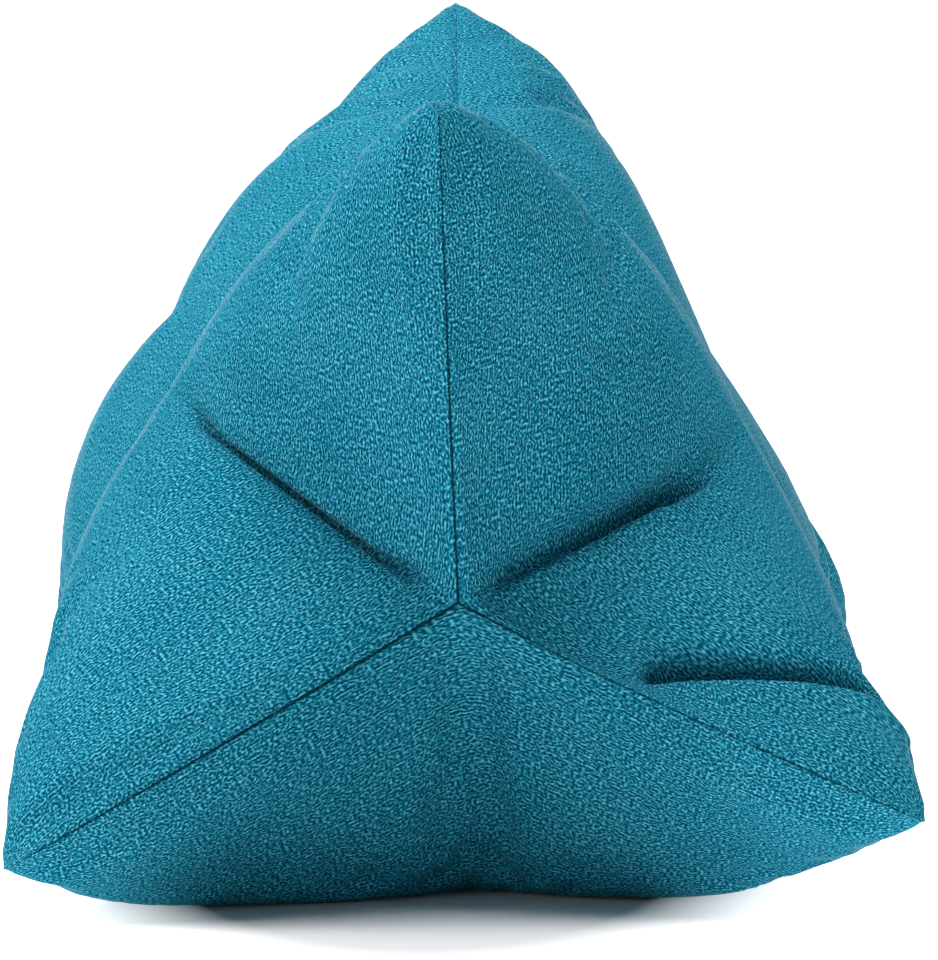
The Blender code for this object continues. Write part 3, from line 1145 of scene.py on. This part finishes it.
        # Painted shade along the seams: the seam distance mixes the dark seam colour into the cloth's tone.
        seam = nodes.new("ShaderNodeAttribute")
        seam.attribute_name = "seam_gap"
        near = bench.stretch(seam.outputs["Fac"], self.seam_dark, self.seam_clear, self.seam_cover, 0.0)
        bench.join(bench.blend(near, tone, opaque(self.painted_seam_shade)), shader.inputs["Base Color"])

        edge = nodes.new("ShaderNodeLayerWeight")
        set_inputs(edge, {"Blend": self.facing_blend})
        rim = bench.stretch(edge.outputs["Facing"], self.sheen_start, 1.0, 0.0, self.sheen)
        bench.join(rim, shader.inputs["Sheen Weight"])

        bump = nodes.new("ShaderNodeBump")
        set_inputs(bump, {"Distance": self.relief})
        bench.join(height, bump.inputs["Height"])
        bench.join(bump.outputs["Normal"], shader.inputs["Normal"])
        return material


@dataclass
class FlatCloth:
    """The panels laid flat, with their rows of weave straight and as little stretch as can be."""

    grids: Array
    rounds: int = 300

    def __post_init__(self) -> None:
        """Measures every edge of the grids against the directions of the weave."""
        over, down = np.gradient(self.grids, axis=2), np.gradient(self.grids, axis=1)
        side = unit(over)
        along = unit(down - np.sum(down * side, axis=-1, keepdims=True) * side)
        weave = np.stack([side, along], axis=-2)
        sizes = {2: np.linalg.norm(down, axis=-1), 1: np.linalg.norm(over, axis=-1)}
        self.wanted, self.weight = {}, {}
        for axis, size in sizes.items():
            edge = np.diff(self.grids, axis=axis)
            between = self.between(weave, axis)
            self.wanted[axis] = np.sum(between * edge[..., None, :], axis=-1)
            long = np.linalg.norm(edge, axis=-1)
            self.weight[axis] = (self.between(size, axis) / np.maximum(long, SMALLEST))[..., None]

    def between(self, values: Array, axis: int) -> Array:
        """Gives the mean of neighbours.

        Args:
            values: A value for each point.
            axis: The axis along which they are neighbours.

        Returns:
            A value for each edge along that axis.
        """
        count = values.shape[axis]
        first = np.take(values, np.arange(count - 1), axis=axis)
        return (first + np.take(values, np.arange(1, count), axis=axis)) / 2.0

    def gather(self, flow: dict[int, Array]) -> Array:
        """Adds up at every point what flows in along its edges, less what flows out.

        Args:
            flow: What flows along the edges of each axis.

        Returns:
            A sum for each point.
        """
        total = np.zeros(self.grids.shape[:3] + (2,))
        for axis, value in flow.items():
            total -= np.diff(add_zeros(value, axis, 1, 1), axis=axis)
        return total

    def spread(self, places: Array) -> Array:
        """Applies the stretch equation to places on the flat cloth."""
        flow = {axis: weight * np.diff(places, axis=axis) for axis, weight in self.weight.items()}
        return self.gather(flow)

    def places(self) -> Array:
        """Finds the place of every point on the flat cloth by conjugate gradients.

        Returns:
            The places in metres, panels by rows by columns by side and along.
        """
        goal = self.gather({axis: weight * self.wanted[axis] for axis, weight in self.weight.items()})
        middle = self.grids.shape[2] // 2
        found = np.zeros_like(goal)
        for axis in (2, 1):
            steps = np.cumsum(self.wanted[axis], axis=axis)
            found[..., 2 - axis] = add_zeros(steps, axis, 1, 0)[..., 2 - axis]
        found[..., 0] -= found[:, :, middle : middle + 1, 0]
        rest = goal - self.spread(found)
        size = self.diagonal()
        step = rest / size
        power = np.sum(rest * step, axis=(0, 1, 2))
        for _ in range(self.rounds):
            pushed = self.spread(step)
            reach = power / np.sum(step * pushed, axis=(0, 1, 2))
            found = found + reach * step
            rest = rest - reach * pushed
            eased = rest / size
            last, power = power, np.sum(rest * eased, axis=(0, 1, 2))
            step = eased + power / last * step
        return found

    def diagonal(self) -> Array:
        """Adds up the weights of the edges that meet at every point."""
        total = np.zeros(self.grids.shape[:3] + (1,))
        for axis, weight in self.weight.items():
            total += add_zeros(weight, axis, 1, 0) + add_zeros(weight, axis, 0, 1)
        return total


@dataclass(frozen=True)
class Pinch:
    """The pinch of one fold: its extra depth and width, and how far its sides close up on it."""

    depth: float
    width: float
    closing: float


@dataclass
class PinchedFolds:
    """The fine bottoms of the near end's folds, where cloth lies against cloth, and its lower trough."""

    pinches: dict[str, Pinch] = field(
        default_factory=lambda: {
            "left crease": Pinch(0.0015, 0.0018, 0.0200),
            "right crease": Pinch(0.0012, 0.0030, 0.0014),
            "ear crease": Pinch(0.0090, 0.0060, 0.0012),
        }
    )
    trough: Fold = Fold("lower trough", 1, 0.0, 0.0, 0.02, 0.034, 0.08, 0.070, 0.0026, 0.006, 0.006, 0.0, 0.0)
    steep_share: float = 0.4
    closing_share: float = 0.90
    closing_reach: float = 0.014
    slight: float = 0.0001

    def press(self, form: PillowForm, grids: Array, place: Array, across: Array) -> Array:
        """Closes each fold up, deepens its middle and presses the trough.

        Args:
            form: The pillow's form.
            grids: The points of the panels.
            place: The rows of the grids.
            across: The steps across a half.

        Returns:
            The points with the pinched folds.
        """
        columns = both_sides(across)
        for fold in FOLDS:
            if fold.name in self.pinches:
                pinch = self.pinches[fold.name]
                fine = replace(
                    fold,
                    depth=pinch.depth,
                    width=pinch.width,
                    steep=pinch.width * self.steep_share,
                    lip=math.copysign(self.slight, fold.lip),
                    overhang=0.0,
                )
                grid = form.press_fold(Sheet(grids[fold.panel], place, columns), fine)
                at = form.trace_fold(Sheet(grid, place, columns), fine)
                grids[fold.panel] = self.close(grid, at, pinch.closing)
        panel = self.trough.panel
        grids[panel] = form.press_fold(Sheet(grids[panel], place, columns), self.trough)
        return grids

    def close(self, grid: Array, at: FoldTrace, closing: float) -> Array:
        """Moves the sides of a fold toward its bottom.

        Args:
            grid: The panel's points.
            at: Where they lie to the fold.
            closing: How far the sides move.

        Returns:
            The panel's points with the closed fold.
        """
        share = self.closing_share * closing * at.beside / (np.abs(at.beside) + closing)
        share = share * bell(at.gap / self.closing_reach) * at.strength
        return grid - at.side * share[..., None]


@dataclass
class FilledCover:
    """The pillow's cover as it lies, filled, sewn and dressed."""

    form: PillowForm
    filling: Filling
    folds: PinchedFolds
    seam: SewnSeam
    finish: CrinkledWeave
    name: str = "filled_cover"
    seam_steps: tuple[float, ...] = (0.004, 0.009, 0.015, 0.023, 0.034, 0.048)
    steps: int = 67
    crowding: float = 1.08
    edge_places: tuple[float, ...] = (0.0005, 0.0011, 0.0019, 0.0030, 0.0044)
    near_stops: tuple[tuple[float, int], ...] = ((0.060, 62), (0.120, 36))
    far_stops: tuple[tuple[float, int], ...] = ((0.060, 26), (0.120, 20))
    waist_rows: int = 54
    panel_apart: float = 1.0

    def end_places(self, stops: tuple[tuple[float, int], ...]) -> Array:
        """Spaces the rows of one end from its short edge toward the waist.

        Args:
            stops: How far each stretch of rows reaches and how many rows it has.

        Returns:
            The distances of the rows from the short edge.
        """
        rows, start = [0.0, *self.edge_places], self.edge_places[-1]
        for stop, count in stops:
            rows.extend(np.linspace(start, stop, count + 1)[1:])
            start = stop
        return np.array(rows)

    def places(self) -> Array:
        """Spaces the rows from the near short edge to the far one."""
        near, far = self.end_places(self.near_stops), self.end_places(self.far_stops)
        length = self.form.panel_length
        waist = np.linspace(near[-1], length - far[-1], self.waist_rows + 1)[1:-1]
        return np.concatenate([near, waist, (length - far)[::-1]])

    def across(self) -> Array:
        """Spaces the columns from a panel's middle line to its seam."""
        seam = 1.0 - np.array(self.seam_steps[::-1])
        inner = np.linspace(0.0, 1.0, self.steps + 1)[:-1] ** self.crowding * seam[0]
        return np.concatenate([inner, seam, [1.0]])

    def build(self) -> bpy.types.Object:
        """Builds the cover on a fine grid and dresses it.

        Returns:
            The finished piece.
        """
        place, across = self.places(), self.across()
        grids = self.form.points(place, across)
        grids = grids + self.filling.movement(self.form, place, across)
        grids = self.folds.press(self.form, grids, place, across)
        net = Net(grids)
        gap = self.seam.press(net)
        net.grids[..., 2] = np.maximum(net.grids[..., 2], 0.0)
        piece = net.make(self.name)
        self.lay_cloth(piece, net)
        marks = piece.data.attributes.new("seam_gap", "FLOAT", "POINT")
        marks.data.foreach_set("value", gap.astype(np.float32))
        piece.data.materials.append(self.finish.material())
        log.info("%s: %d points, %d faces", piece.name, len(piece.data.vertices), len(piece.data.polygons))
        return piece

    def lay_cloth(self, piece: bpy.types.Object, net: Net) -> None:
        """Gives the piece a UV map in metres of cloth, with the rows of weave across each panel.

        Args:
            piece: The piece.
            net: The net that it was made from.
        """
        cloth = FlatCloth(net.grids).places()
        cloth[..., 0] += self.panel_apart * np.arange(len(cloth))[:, None, None]
        layer = piece.data.uv_layers.new(name="cloth")
        layer.data.foreach_set("uv", face_corners(cloth).astype(np.float32).ravel())


@dataclass(frozen=True)
class SoftLight:
    """One soft square light: where it hangs, its power and the length of its sides."""

    name: str
    place: Triple
    power: float
    side: float = 1.0


LIGHTS = (
    SoftLight("left_front_softbox", (-1.5, -1.5, 0.7), 5.5),
    SoftLight("left_high_softbox", (-1.3, 0.2, 1.6), 24.0),
    SoftLight("overhead_softbox", (0.0, 0.0, 2.0), 47.0, 1.2),
    SoftLight("front_low_softbox", (-1.1, -3.3, 0.35), 11.0),
    SoftLight("low_right_softbox", (1.9, -1.3, 0.35), 2.5),
    SoftLight("left_back_softbox", (-1.2, 1.3, 1.2), 7.0),
    SoftLight("right_back_softbox", (1.2, 1.3, 1.2), 3.0),
)


@dataclass
class Studio:
    """A pale grey floor that glows white round the pillow but not just under it, which leaves a painted
    shadow there, soft lights and the camera.
    """

    aim: Triple = (0.0, 0.0, 0.09)
    floor_size: float = 40.0
    floor_colour: Triple = (0.60, 0.60, 0.61)
    floor_roughness: float = 1.0
    floor_specular: float = 0.0
    # The floor's glow is painted light; where it fades out in the ellipse round the pillow, the grey floor is
    # a painted shadow.
    floor_glow: float = 1.1
    glow_middle: Triple = (-0.010, 0.0, 0.0)
    glow_size: Triple = (0.085, 0.300, 1.0)
    glow_start: float = 0.82
    glow_end: float = 1.12
    air_strength: float = 0.02
    camera_place: Triple = (0.0011, -2.902, 0.3557)
    camera_pitch: float = 5.36
    image_width: int = 938
    image_height: int = 960
    focal_pixels: float = 11850.0
    sensor: float = 36.0
    far_clip: float = 100.0

    def build(self) -> None:
        """Sets up the floor, the air, the lights and the camera."""
        self.lay_floor()
        self.light_air()
        for light in LIGHTS:
            self.hang(light)
        self.place_camera()

    def lay_floor(self) -> None:
        """Lays a pale grey floor that glows white outside an ellipse round the pillow, so that the grey
        inside it is a painted shadow.
        """
        bpy.ops.object.select_all(action="DESELECT")
        bpy.ops.mesh.primitive_plane_add(size=self.floor_size, location=(0.0, 0.0, 0.0))
        floor = bpy.context.object
        floor.name = "studio_floor"
        floor_material = bpy.data.materials.new("glowing_floor_painted_shadow")
        floor_material.use_nodes = True
        shader = floor_material.node_tree.nodes["Principled BSDF"]
        set_inputs(shader, {"Base Color": opaque(self.floor_colour), "Emission Color": opaque(WHITE)})
        set_inputs(shader, {"Roughness": self.floor_roughness, "Specular IOR Level": self.floor_specular})
        bench = NodeBench(floor_material.node_tree)
        place = floor_material.node_tree.nodes.new("ShaderNodeTexCoord").outputs["Object"]
        shifted = bench.work("ShaderNodeVectorMath", "SUBTRACT", place, self.glow_middle)
        scaled = bench.work("ShaderNodeVectorMath", "DIVIDE", shifted.outputs["Vector"], self.glow_size)
        reach = bench.work("ShaderNodeVectorMath", "LENGTH", scaled.outputs["Vector"]).outputs["Value"]
        # Painted light and shadow: no glow inside the ellipse round the pillow, full glow outside it.
        glow = bench.stretch(reach, self.glow_start, self.glow_end, 0.0, self.floor_glow)
        bench.join(glow, shader.inputs["Emission Strength"])
        floor.data.materials.append(floor_material)

    def light_air(self) -> None:
        """Gives the air round the pillow a faint even light."""
        world = bpy.data.worlds.new("studio_air")
        bpy.context.scene.world = world
        world.use_nodes = True
        sky = world.node_tree.nodes["Background"]
        set_inputs(sky, {"Color": opaque(WHITE), "Strength": self.air_strength})

    def hang(self, light: SoftLight) -> None:
        """Hangs one soft light, turned to the pillow.

        Args:
            light: The light.
        """
        data = bpy.data.lights.new(light.name, "AREA")
        data.shape = "RECTANGLE"
        data.size = data.size_y = light.side
        data.energy = light.power
        lamp = put_in_scene(light.name, data)
        lamp.location = light.place
        toward = Vector(self.aim) - Vector(light.place)
        lamp.rotation_euler = toward.to_track_quat("-Z", "Y").to_euler()

    def place_camera(self) -> None:
        """Stands the camera in front of the near end."""
        data = bpy.data.cameras.new("studio_camera")
        data.sensor_width = self.sensor
        data.lens = self.focal_pixels * self.sensor / max(self.image_width, self.image_height)
        data.clip_end = self.far_clip
        camera = put_in_scene("studio_camera", data)
        camera.location = self.camera_place
        camera.rotation_euler = (math.radians(90.0 - self.camera_pitch), 0.0, 0.0)
        bpy.context.scene.camera = camera
        bpy.context.scene.view_settings.view_transform = "Standard"


def main() -> None:
    """Builds the pillow and the studio, and reports each piece."""
    logging.basicConfig(level=logging.INFO, format="%(name)s: %(message)s")
    cover = FilledCover(PillowForm(), Filling(), PinchedFolds(), SewnSeam(), CrinkledWeave()).build()
    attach(cover, "root")
    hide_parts(CAD_NODE)
    Studio().build()


if __name__ == "__main__":
    main()
